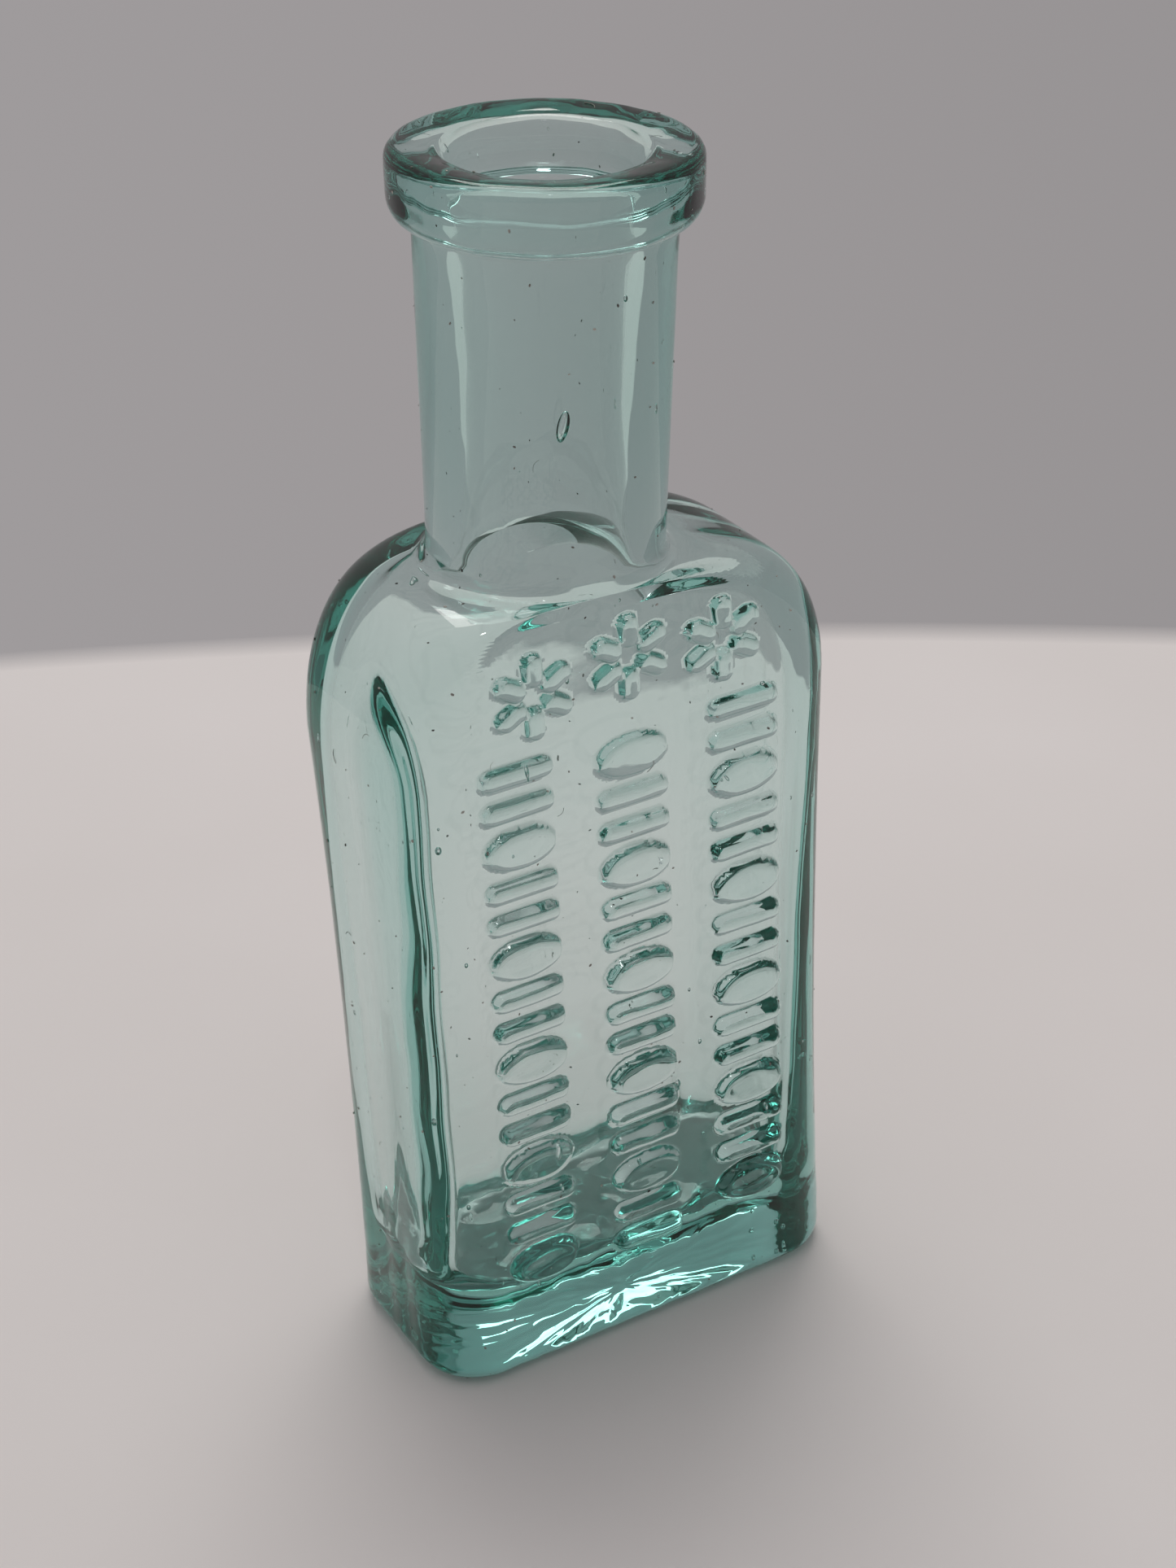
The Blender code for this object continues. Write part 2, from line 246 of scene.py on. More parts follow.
def arch_rings(start, top, width, depth, radius, neck_radius, fillet, count, side, shift=0.0):
    """An arched shoulder, a quarter of a superellipse from the straight sides to the neck's fillet."""
    narrow = neck_radius + fillet
    rings = []
    for share_of_turn in shares(count):
        turn = share_of_turn * math.pi / 2
        reach = max(math.cos(turn), 0.0) ** (2 / ARCH_POWER)
        rise = math.sin(turn) ** (2 / ARCH_POWER)
        share = 1 - reach
        a = blend(narrow, width, reach)
        b = blend(depth, min(depth, narrow), share)
        corner = min(blend(radius, min(a, b), share**3), a, b)
        aside = blend(shift, NECK_FOOT_SHIFT, share)
        place = level(blend(start, top, rise), aside, NECK_LEAN * share)
        rings.append((place, a, b, corner, side))
    return rings


def fillet_rings(foot, depth, neck_radius, fillet, side, count=7):
    """The hollow curve from the shoulder into the neck."""
    rings = []
    for share in shares(count):
        turn = share * math.pi / 2
        a = neck_radius + fillet * (1 - math.sin(turn))
        b = blend(min(depth, neck_radius + fillet), neck_radius, 1 - math.cos(turn))
        along = foot + fillet * (1 - math.cos(turn))
        rings.append((on_neck(along), a, b, min(a, b), side))
    return rings


def round_rings(profile, side):
    """Round rings on the neck's axis, from (radius, distance along it) pairs."""
    return [(on_neck(along), radius, radius, radius, side) for radius, along in profile]


def arc(centre, radii, start, end, count):
    """Points on an ellipse from after one angle to another, in degrees."""
    turns = [math.radians(blend(start, end, share)) for share in shares(count)]
    return [(centre[0] + radii[0] * math.cos(t), centre[1] + radii[1] * math.sin(t)) for t in turns]


def base_rings():
    """Under the base: slightly hollow, flat where it stands, and rounded up into the sides."""
    width = BASE_HALF_WIDTH - HEEL_RADIUS
    depth = BASE_HALF_DEPTH - HEEL_RADIUS
    corner = CORNER_RADIUS - HEEL_RADIUS
    rings = []
    for share in shares(10):
        hollow = BASE_HOLLOW * max(0.0, 1 - (share / 0.9) ** 2) ** 2
        rings.append((level(hollow), width * share, depth * share, corner * share, 1.0))
    for share in shares(7):
        turn = share * math.pi / 2
        out = HEEL_RADIUS * math.sin(turn)
        height = HEEL_RADIUS * (1 - math.cos(turn))
        rings.append((level(height), width + out, depth + out, corner + out, 1.0))
    return rings


def body_rings():
    rings = []
    for share in shares(BODY_RINGS):
        height = blend(HEEL_RADIUS, SHOULDER_HEIGHT, share)
        width = body_half_width(height)
        rings.append((level(height), width, body_half_depth(height), CORNER_RADIUS, 1.0))
    return rings


def neck_and_lip_rings():
    """Up the neck, round the collar's edge, over the rim and down to the bore."""
    foot = NECK_FILLET
    stretch = NECK_LENGTH - COLLAR_FILLET - foot
    neck = [
        (blend(NECK_FOOT_RADIUS, NECK_TOP_RADIUS, share), foot + stretch * share)
        for share in shares(NECK_RINGS)
    ]
    under = NECK_LENGTH
    edge = COLLAR_RADIUS - COLLAR_ROUNDING
    top = NECK_LENGTH + COLLAR_HEIGHT
    hollow = (NECK_TOP_RADIUS + COLLAR_FILLET, under - COLLAR_FILLET)
    lip = arc(hollow, (COLLAR_FILLET, COLLAR_FILLET), 180, 90, 5)
    reach = COLLAR_RADIUS - hollow[0]
    lip += arc((hollow[0], under + COLLAR_UNDERCUT), (reach, COLLAR_UNDERCUT), -90, 0, 10)
    side_foot = under + COLLAR_UNDERCUT
    lip += [(COLLAR_RADIUS, blend(side_foot, top - COLLAR_ROUNDING, s)) for s in shares(5)]
    lip += arc((edge, top - COLLAR_ROUNDING), (COLLAR_ROUNDING,) * 2, 0, 90, 8)
    inner_edge = edge - RIM_WIDTH
    lip += [(blend(edge, inner_edge, s), top - RIM_DROP * s * s) for s in shares(6)]
    mouth = (inner_edge, top - RIM_DROP - MOUTH_DEPTH)
    lip += arc(mouth, (inner_edge - BORE_TOP_RADIUS, MOUTH_DEPTH), 90, 180, 12)
    return round_rings(neck + lip, 1.0)


def bore_rings():
    """Down the bore from the mouth to the neck's foot."""
    top = NECK_LENGTH + COLLAR_HEIGHT - RIM_DROP - MOUTH_DEPTH
    foot = CAVITY_TOP_HEIGHT - NECK_FOOT_HEIGHT + CAVITY_NECK_FILLET
    profile = []
    for share in shares(BORE_RINGS):
        radius = through_three(BORE_TOP_RADIUS, BORE_WAIST_RADIUS, BORE_FOOT_RADIUS, share)
        profile.append((radius, blend(top, foot, share)))
    return round_rings(profile, 0.0)


def right_wall(height):
    """The right side's wall, thin at the shoulder and thick near the base."""
    share = min(height / SHOULDER_HEIGHT, 1.0)
    return blend(BASE_RIGHT_WALL, SHOULDER_RIGHT_WALL, share)


def cavity_shift(height):
    """How far the cavity's middle lies aside, because its side walls differ."""
    return (LEFT_WALL - right_wall(height)) / 2


def cavity_size(height):
    side_wall = (LEFT_WALL + right_wall(height)) / 2
    return (
        body_half_width(height) - side_wall,
        body_half_depth(height) - panel_wall(height),
    )


def cavity_rings():
    """Down the inside from the shoulder to the middle of the rounded floor."""
    width, depth = cavity_size(CAVITY_SHOULDER_HEIGHT)
    up = arch_rings(
        CAVITY_SHOULDER_HEIGHT,
        CAVITY_TOP_HEIGHT,
        width,
        depth,
        CAVITY_CORNER_RADIUS,
        BORE_FOOT_RADIUS,
        CAVITY_NECK_FILLET,
        CAVITY_ARCH_RINGS,
        0.0,
        cavity_shift(CAVITY_SHOULDER_HEIGHT),
    )
    foot = CAVITY_TOP_HEIGHT - NECK_FOOT_HEIGHT
    fillet = fillet_rings(
        foot, depth, BORE_FOOT_RADIUS, CAVITY_NECK_FILLET, 0.0, CAVITY_FILLET_RINGS
    )
    up += fillet[:-1]
    rings = up[::-1]
    heel = BASE_WALL + CAVITY_HEEL_RADIUS
    for share in shares(CAVITY_RINGS):
        height = blend(CAVITY_SHOULDER_HEIGHT, heel, share)
        place = level(height, cavity_shift(height))
        rings.append((place, *cavity_size(height), cavity_corner(height), 0.0))
    width, depth = cavity_size(heel)
    shift = cavity_shift(heel)
    for share in shares(FLOOR_EDGE_RINGS):
        turn = share * math.pi / 2
        drawn_in = CAVITY_HEEL_RADIUS * (1 - math.cos(turn))
        height = heel - CAVITY_HEEL_RADIUS * math.sin(turn)
        corner = FLOOR_CORNER_RADIUS - FLOOR_CORNER_DRAW * drawn_in
        place = level(height, shift)
        rings.append((place, width - drawn_in, depth - drawn_in, corner, 0.0))
    width -= CAVITY_HEEL_RADIUS
    depth -= CAVITY_HEEL_RADIUS
    corner = FLOOR_CORNER_RADIUS - FLOOR_CORNER_DRAW * CAVITY_HEEL_RADIUS
    for share in [1 - s for s in shares(FLOOR_RINGS)[:-1]]:
        place = level(BASE_WALL, shift)
        rings.append((place, width * share, depth * share, corner * share, 0.0))
    return rings


def all_rings():
    shoulder = arch_rings(
        SHOULDER_HEIGHT,
        NECK_FOOT_HEIGHT,
        SHOULDER_HALF_WIDTH,
        SHOULDER_HALF_DEPTH,
        CORNER_RADIUS,
        NECK_FOOT_RADIUS,
        NECK_FILLET,
        ARCH_RINGS,
        1.0,
    )
    shoulder += fillet_rings(0.0, SHOULDER_HALF_DEPTH, NECK_FOOT_RADIUS, NECK_FILLET, 1.0)
    outside = base_rings() + body_rings() + shoulder + neck_and_lip_rings()
    return outside + bore_rings() + cavity_rings()


def column_angles():
    """Directions round the bottle, closely spaced across the front panel."""
    width, depth, radius = WAIST_HALF_WIDTH, BASE_HALF_DEPTH, CORNER_RADIUS
    points = []
    for step in range(FRONT_STEPS):
        points.append((blend(-FRONT_HALF_SPAN, FRONT_HALF_SPAN, step / FRONT_STEPS), -depth))
    for quarter, side_x, side_y, along, steps in (
        (3, 1, -1, (0, 1), SIDE_STEPS),
        (0, 1, 1, (-1, 0), BACK_STEPS),
        (1, -1, 1, (0, -1), SIDE_STEPS),
        (2, -1, -1, (0, 0), 0),
    ):
        centre = (side_x * (width - radius), side_y * (depth - radius))
        for step in range(CORNER_STEPS):
            turn = (quarter + step / CORNER_STEPS) * math.pi / 2
            points.append((centre[0] + radius * math.cos(turn), centre[1] + radius * math.sin(turn)))
        turn = (quarter + 1) * math.pi / 2
        start = (centre[0] + radius * math.cos(turn), centre[1] + radius * math.sin(turn))
        length = 2 * (depth - radius) if along[1] else 2 * (width - radius)
        for step in range(steps):
            part = length * step / steps
            points.append((start[0] + along[0] * part, start[1] + along[1] * part))
    return np.array([math.atan2(y, x) for x, y in points])


def section(angles, a, b, radius):
    """How far a rounded rectangle's edge lies from its middle, in each direction."""
    across = np.abs(np.cos(angles))
    upward = np.abs(np.sin(angles))
    centre_x, centre_y = a - radius, b - radius
    along = across * centre_x + upward * centre_y
    corner = along + np.sqrt(np.maximum(along**2 - centre_x**2 - centre_y**2 + radius**2, 0.0))
    to_side = a / np.maximum(across, 1e-9)
    to_panel = b / np.maximum(upward, 1e-9)
    reach = np.where(to_side * upward <= centre_y, to_side, corner)
    return np.where(to_panel * across <= centre_x, to_panel, reach)


def drawn_glass():
    """The bottle as one closed skin: up the outside, over the lip and down the inside."""
    angles = column_angles()
    columns = len(angles)
    rings = all_rings()
    points = []
    outside = []
    for place, a, b, radius, side in rings:
        reach = section(angles, a, b, radius)
        flat = np.stack([reach * np.cos(angles), reach * np.sin(angles), np.zeros(columns)], axis=1)
        turned = np.array(place.to_3x3())
        points.append(flat @ turned.T + np.array(place.translation))
        outside += [side] * columns
    body = np.concatenate(points)
    base_middle = len(body)
    floor_middle = base_middle + 1
    floor_shift = cavity_shift(BASE_WALL + CAVITY_HEEL_RADIUS)
    ends = [(0.0, 0.0, BASE_HOLLOW), (floor_shift, 0.0, BASE_WALL)]
    outside += [1.0, 0.0]
    faces = []
    for ring in range(len(rings) - 1):
        low, high = ring * columns, (ring + 1) * columns
        for i in range(columns):
            j = (i + 1) % columns
            faces.append((low + i, low + j, high + j, high + i))
    last = (len(rings) - 1) * columns
    for i in range(columns):
        j = (i + 1) % columns
        faces.append((j, i, base_middle))
        faces.append((last + i, last + j, floor_middle))
    mesh = bpy.data.meshes.new("drawn_glass")
    mesh.from_pydata(np.concatenate([body, ends]).tolist(), [], faces)
    mesh.attributes.new("outside", "FLOAT", "POINT").data.foreach_set("value", outside)
    draw_finer_under_ornament(mesh)
    mesh.shade_smooth()
    return mesh


def draw_finer_under_ornament(mesh):
    """Cuts the front panel's outer faces finer, and leaves the rest as it is."""
    work = bmesh.new()
    work.from_mesh(mesh)
    outside = work.verts.layers.float["outside"]
    top = ROSETTE_HEIGHT + ROSETTE_RISE + ROSETTE_WIDTH / 2 + SLOPE_WIDTH

    def on_front(vert):
        x, y, z = vert.co
        in_field = abs(x) < FRONT_HALF_SPAN and FINE_FOOT < z < top
        return in_field and y < -CORNER_RADIUS and vert[outside] > 0.5

    edges = [edge for edge in work.edges if all(on_front(vert) for vert in edge.verts)]
    bmesh.ops.subdivide_edges(work, edges=edges, cuts=FINE_CUTS, use_grid_fill=True)
    work.to_mesh(mesh)
    work.free()


# Node trees.


def put_node(nodes, links, kind, inputs, named, settings):
    """Adds a node, makes its settings, and sets or links its inputs, by place and then by name."""
    node = nodes.new(kind)
    for key, value in settings.items():
        setattr(node, key, value)
    for key, value in list(enumerate(inputs)) + list((named or {}).items()):
        if isinstance(value, bpy.types.NodeSocket):
            links.new(value, node.inputs[key])
        else:
            node.inputs[key].default_value = value
    return node


class Tree:
    """A geometry node tree that is written down node by node."""

    def __init__(self, name, sizes):
        self.group = bpy.data.node_groups.new(name, "GeometryNodeTree")
        self.group.interface.new_socket("Geometry", in_out="INPUT", socket_type="NodeSocketGeometry")
        self.group.interface.new_socket("Geometry", in_out="OUTPUT", socket_type="NodeSocketGeometry")
        self.ids = {}
        for label in sizes:
            made = self.group.interface.new_socket(label, in_out="INPUT", socket_type="NodeSocketFloat")
            self.ids[label] = made.identifier
        self.start = self.group.nodes.new("NodeGroupInput")
        self.end = self.group.nodes.new("NodeGroupOutput")
        self.sizes = sizes

    def size(self, label):
        return self.start.outputs[label]

    def put(self, kind, *inputs, named=None, out=0, **settings):
        """Adds a node and gives back one of its outputs."""
        node = put_node(self.group.nodes, self.group.links, kind, inputs, named, settings)
        return node.outputs[out]

    def maths(self, operation, *values):
        return self.put("ShaderNodeMath", *values, operation=operation)

    def vector(self, x, y, z):
        return self.put("ShaderNodeCombineXYZ", x, y, z)

    def scaled(self, vector, amount):
        return self.put(
            "ShaderNodeVectorMath", vector, named={"Scale": amount}, operation="SCALE"
        )

    def summed(self, *values):
        total = values[0]
        for value in values[1:]:
            total = self.maths("ADD", total, value)
        return total

    def rising(self, value, low, high):
        """A smooth step from 0 at low to 1 at high; it falls where low is above high."""
        named = {"Value": value, "From Min": low, "From Max": high}
        return self.put("ShaderNodeMapRange", named=named, interpolation_type="SMOOTHSTEP")

    def noise(self, stretch, wavelength, detail=2.0):
        """Noise about zero, from -0.5 to 0.5, drawn out along each axis by stretch."""
        place = self.put("GeometryNodeInputPosition")
        drawn = self.put("ShaderNodeVectorMath", place, stretch, operation="MULTIPLY")
        pattern = self.put(
            "ShaderNodeTexNoise",
            named={"Vector": drawn, "Scale": 1.0 / wavelength, "Detail": detail},
        )
        return self.maths("SUBTRACT", pattern, 0.5)

    def straying(self, label, wavelength, stretch, detail=2.0):
        """Noise as large as the input of this label, which repeats over the wavelength."""
        return self.maths("MULTIPLY", self.noise(stretch, wavelength, detail), self.size(label))

    def grown(self, mesh, name):
        """Runs the tree on a mesh and gives back the result as a plain mesh."""
        holder = bpy.data.objects.new(name, mesh)
        bpy.context.scene.collection.objects.link(holder)
        modifier = holder.modifiers.new(name, "NODES")
        modifier.node_group = self.group
        for label, value in self.sizes.items():
            modifier[self.ids[label]] = value
        graph = bpy.context.evaluated_depsgraph_get()
        made = bpy.data.meshes.new_from_object(holder.evaluated_get(graph), depsgraph=graph)
        holder.modifiers.remove(modifier)
        bpy.data.objects.remove(holder)
        made.name = name
        return made


def line_strokes(tree, ends):
    """Straight strokes between pairs of (x, z) points, as bare edges."""
    strokes = []
    for start, finish in ends:
        strokes.append(
            tree.put(
                "GeometryNodeMeshLine",
                named={
                    "Count": 2,
                    "Start Location": tree.vector(start[0], 0.0, start[1]),
                    "Offset": tree.vector(finish[0], 0.0, finish[1]),
                },
                mode="END_POINTS",
            )
        )
    return joined(tree, strokes)


def joined(tree, geometries):
    node = tree.group.nodes.new("GeometryNodeJoinGeometry")
    for geometry in reversed(geometries):
        tree.group.links.new(geometry, node.inputs[0])
    return node.outputs[0]


def upright_oval(tree, half_width, half_height, corners=32):
    """A filled oval standing in the panel's plane."""
    disc = tree.put("GeometryNodeMeshCircle", corners, 1.0, fill_type="NGON")
    return tree.put(
        "GeometryNodeTransform",
        disc,
        named={
            "Rotation": (math.pi / 2, 0.0, 0.0),
            "Scale": tree.vector(half_width, half_height, 1.0),
        },
    )


def moved(tree, geometry, x, z):
    return tree.put("GeometryNodeTransform", geometry, named={"Translation": tree.vector(x, 0.0, z)})


def bead_and_reels(tree):
    """One repeat of a column: an oval bead, and a pair of bars above it, each short of its full
    size by the width of its slope."""
    half = tree.maths("MULTIPLY", tree.size("Mark Width"), 0.5)
    half = tree.maths("SUBTRACT", half, tree.size("Slope Width"))
    half_tall = tree.maths("MULTIPLY", tree.size("Bead Tallness"), 0.5)
    half_tall = tree.maths("SUBTRACT", half_tall, tree.size("Slope Width"))
    bead = upright_oval(tree, half, half_tall)
    bar = line_strokes(tree, [((tree.maths("MULTIPLY", half, -1.0), 0.0), (half, 0.0))])
    between = tree.maths("MULTIPLY", tree.size("Repeat"), 0.5)
    gap = tree.maths("MULTIPLY", tree.size("Reel Gap"), 0.5)
    low_bar = moved(tree, bar, 0.0, tree.maths("SUBTRACT", between, gap))
    high_bar = moved(tree, bar, 0.0, tree.maths("ADD", between, gap))
    return bead, joined(tree, [low_bar, high_bar])


def stacked(tree, geometry, count, x, z):
    """Copies one above the other, a repeat apart, from a lowest place."""
    line = tree.put(
        "GeometryNodeMeshLine",
        named={
            "Count": count,
            "Start Location": tree.vector(x, 0.0, z),
            "Offset": tree.vector(0.0, 0.0, tree.size("Repeat")),
        },
    )
    return tree.put("GeometryNodeInstanceOnPoints", line, named={"Instance": geometry})


def rosette(tree):
    """Six petals about a small open middle."""
    radius = tree.maths("MULTIPLY", tree.size("Rosette Width"), 0.5)
    petals = []
    for petal in range(PETALS):
        turn = 2 * math.pi * petal / PETALS + math.pi / 2
        ends = []
        for reach in (PETAL_START, 1.0 - 2 * SLOPE_WIDTH / ROSETTE_WIDTH):
            x = tree.maths("MULTIPLY", radius, reach * math.cos(turn))
            z = tree.maths("MULTIPLY", radius, reach * math.sin(turn))
            ends.append((x, z))
        petals.append(tuple(ends))
    return line_strokes(tree, petals)


def on_panel(tree, marks):
    """Stands marks drawn in the middle plane out on the front panel's face, which tapers upwards."""
    loose = tree.put("GeometryNodeRealizeInstances", joined(tree, marks))
    height = tree.put("ShaderNodeSeparateXYZ", tree.put("GeometryNodeInputPosition"), out=2)
    taper = (BASE_HALF_DEPTH - SHOULDER_HALF_DEPTH) / SHOULDER_HEIGHT
    face = tree.maths("MULTIPLY_ADD", height, -taper, BASE_HALF_DEPTH)
    face = tree.maths("MAXIMUM", face, SHOULDER_HALF_DEPTH)
    to_face = tree.vector(0.0, tree.maths("MULTIPLY", face, -1.0), 0.0)
    return tree.put("GeometryNodeSetPosition", loose, named={"Offset": to_face})


def ornament(tree):
    """The front panel's raised marks on its face: the beads as filled ovals, the rest as edges."""
    bead, reels = bead_and_reels(tree)
    lowest = tree.size("Lowest Bead")
    spacing = tree.size("Column Spacing")
    half_repeat = tree.maths("MULTIPLY", tree.size("Repeat"), 0.5)
    beads = []
    bars = []
    for side in (-1.0, 1.0):
        x = tree.maths("MULTIPLY", spacing, side)
        beads.append(stacked(tree, bead, BEADS_PER_COLUMN, x, lowest))
        bars.append(stacked(tree, reels, BEADS_PER_COLUMN, x, lowest))
    staggered = tree.maths("ADD", lowest, half_repeat)
    below = tree.maths("SUBTRACT", lowest, half_repeat)
    beads.append(stacked(tree, bead, BEADS_PER_COLUMN, 0.0, staggered))
    bars.append(stacked(tree, reels, BEADS_PER_COLUMN, 0.0, below))

    spread = tree.size("Rosette Spacing")
    row_of_three = tree.put(
        "GeometryNodeMeshLine",
        named={
            "Count": 3,
            "Start Location": tree.vector(tree.maths("MULTIPLY", spread, -1.0), 0.0, ROSETTE_HEIGHT),
            "Offset": tree.vector(spread, 0.0, 0.0),
        },
    )
    number = tree.put("GeometryNodeInputIndex")
    is_middle = tree.put(
        "FunctionNodeCompare", number, 1.0, data_type="FLOAT", operation="EQUAL"
    )
    arched = tree.put(
        "GeometryNodeSetPosition",
        row_of_three,
        named={"Selection": is_middle, "Offset": (0.0, 0.0, ROSETTE_RISE)},
    )
    rosettes = tree.put("GeometryNodeInstanceOnPoints", arched, named={"Instance": rosette(tree)})
    return on_panel(tree, beads), on_panel(tree, bars + [rosettes])


def mark_height(tree):
    """How far the face stands out at each place: flat on a mark, and round down to its edge."""
    faces, edges = ornament(tree)
    to_bead = tree.put("GeometryNodeProximity", faces, target_element="FACES", out="Distance")
    to_stroke = tree.put("GeometryNodeProximity", edges, target_element="EDGES", out="Distance")
    away = tree.maths("MINIMUM", to_bead, to_stroke)
    down = tree.maths("MINIMUM", tree.maths("DIVIDE", away, tree.size("Slope Width")), 1.0)
    round_off = tree.maths("SQRT", tree.maths("SUBTRACT", 1.0, tree.maths("MULTIPLY", down, down)))
    return round_off


def draw_lines(tree, sideways, height):
    """Upright lines down the body's sides, where the mould dragged on the glass."""
    near_sides = tree.rising(tree.maths("ABSOLUTE", sideways), 13.2 * MM, 14.8 * MM)
    on_body = tree.rising(height, SHOULDER_HEIGHT + 6.0 * MM, SHOULDER_HEIGHT - 4.0 * MM)
    lines = tree.straying("Draw Lines", DRAW_LINES_LENGTH, (1.0, 1.0, 0.04), 1.0)
    return tree.maths("MULTIPLY", tree.maths("MULTIPLY", lines, near_sides), on_body)


def corner_fold(tree, sideways, back, height):
    """A thicker fold of glass inside the left front corner, from the floor to the shoulder."""
    sway = tree.noise((1.0, 1.0, 1.0), 9.0 * MM, 1.0)
    sway = tree.maths("MULTIPLY", sway, FOLD_SWAY)
    off_middle = tree.maths("ABSOLUTE", tree.summed(sideways, sway, -FOLD_SIDE))
    fold = tree.maths("MULTIPLY", tree.rising(off_middle, FOLD_HALF_WIDTH, 0.0), tree.size("Corner Fold"))
    fold = tree.maths("MULTIPLY", fold, tree.rising(back, 0.0, -2.0 * MM))
    return tree.maths("MULTIPLY", fold, tree.rising(height, NECK_FOOT_HEIGHT, 44.0 * MM))


def underside_ripple(tree, height):
    """Shallow hollows under the base, none of them below the level that it stands on."""
    ripple = tree.maths("ADD", tree.noise((1.0, 1.0, 0.0), UNDERSIDE_RIPPLE_LENGTH, 2.0), 0.2)
    ripple = tree.maths("MULTIPLY", tree.maths("MAXIMUM", ripple, 0.0), tree.size("Underside Ripple"))
    return tree.maths("MULTIPLY", ripple, tree.rising(height, 1.2 * MM, 0.2 * MM))


def wall_straying(tree, outside):
    """How far each place of the inside and the outside strays along its own normal."""
    place = tree.put("ShaderNodeSeparateXYZ", tree.put("GeometryNodeInputPosition")).node
    sideways, back, height = place.outputs
    lines = draw_lines(tree, sideways, height)
    lumps = tree.straying("Floor Lumps", FLOOR_LUMPS_LENGTH, (1.0, 1.0, 1.0))
    inner = tree.summed(
        tree.straying("Inner Wander", INNER_WANDER_LENGTH, (1.0, 1.0, 0.55), 1.0),
        tree.straying("Inner Ripple", INNER_RIPPLE_LENGTH, (1.0, 1.0, 0.5)),
        tree.maths("MULTIPLY", lumps, tree.rising(height, 11.0 * MM, 6.5 * MM)),
        tree.maths("MULTIPLY", lines, LINES_INSIDE),
        corner_fold(tree, sideways, back, height),
    )
    inner = tree.maths("MULTIPLY", inner, tree.maths("SUBTRACT", 1.0, outside))
    heel = tree.straying("Heel Ripple", HEEL_RIPPLE_LENGTH, (1.0, 1.0, 1.0), 1.0)
    tooled = tree.straying("Lip Ripple", LIP_RIPPLE_LENGTH, (1.0, 1.0, 1.3), 1.0)
    outer = tree.summed(
        tree.straying("Outer Wander", OUTER_WANDER_LENGTH, (1.0, 1.0, 0.7), 1.0),
        tree.straying("Outer Ripple", OUTER_RIPPLE_LENGTH, (1.0, 1.0, 1.0)),
        lines,
        tree.maths("MULTIPLY", heel, tree.rising(height, 10.0 * MM, 4.0 * MM)),
        tree.maths("MULTIPLY", tooled, tree.rising(height, 73.0 * MM, 76.0 * MM)),
    )
    outer = tree.maths("MULTIPLY", outer, tree.rising(height, 0.3 * MM, 2.0 * MM))
    outer = tree.maths("SUBTRACT", outer, underside_ripple(tree, height))
    return tree.maths("ADD", inner, tree.maths("MULTIPLY", outer, outside))


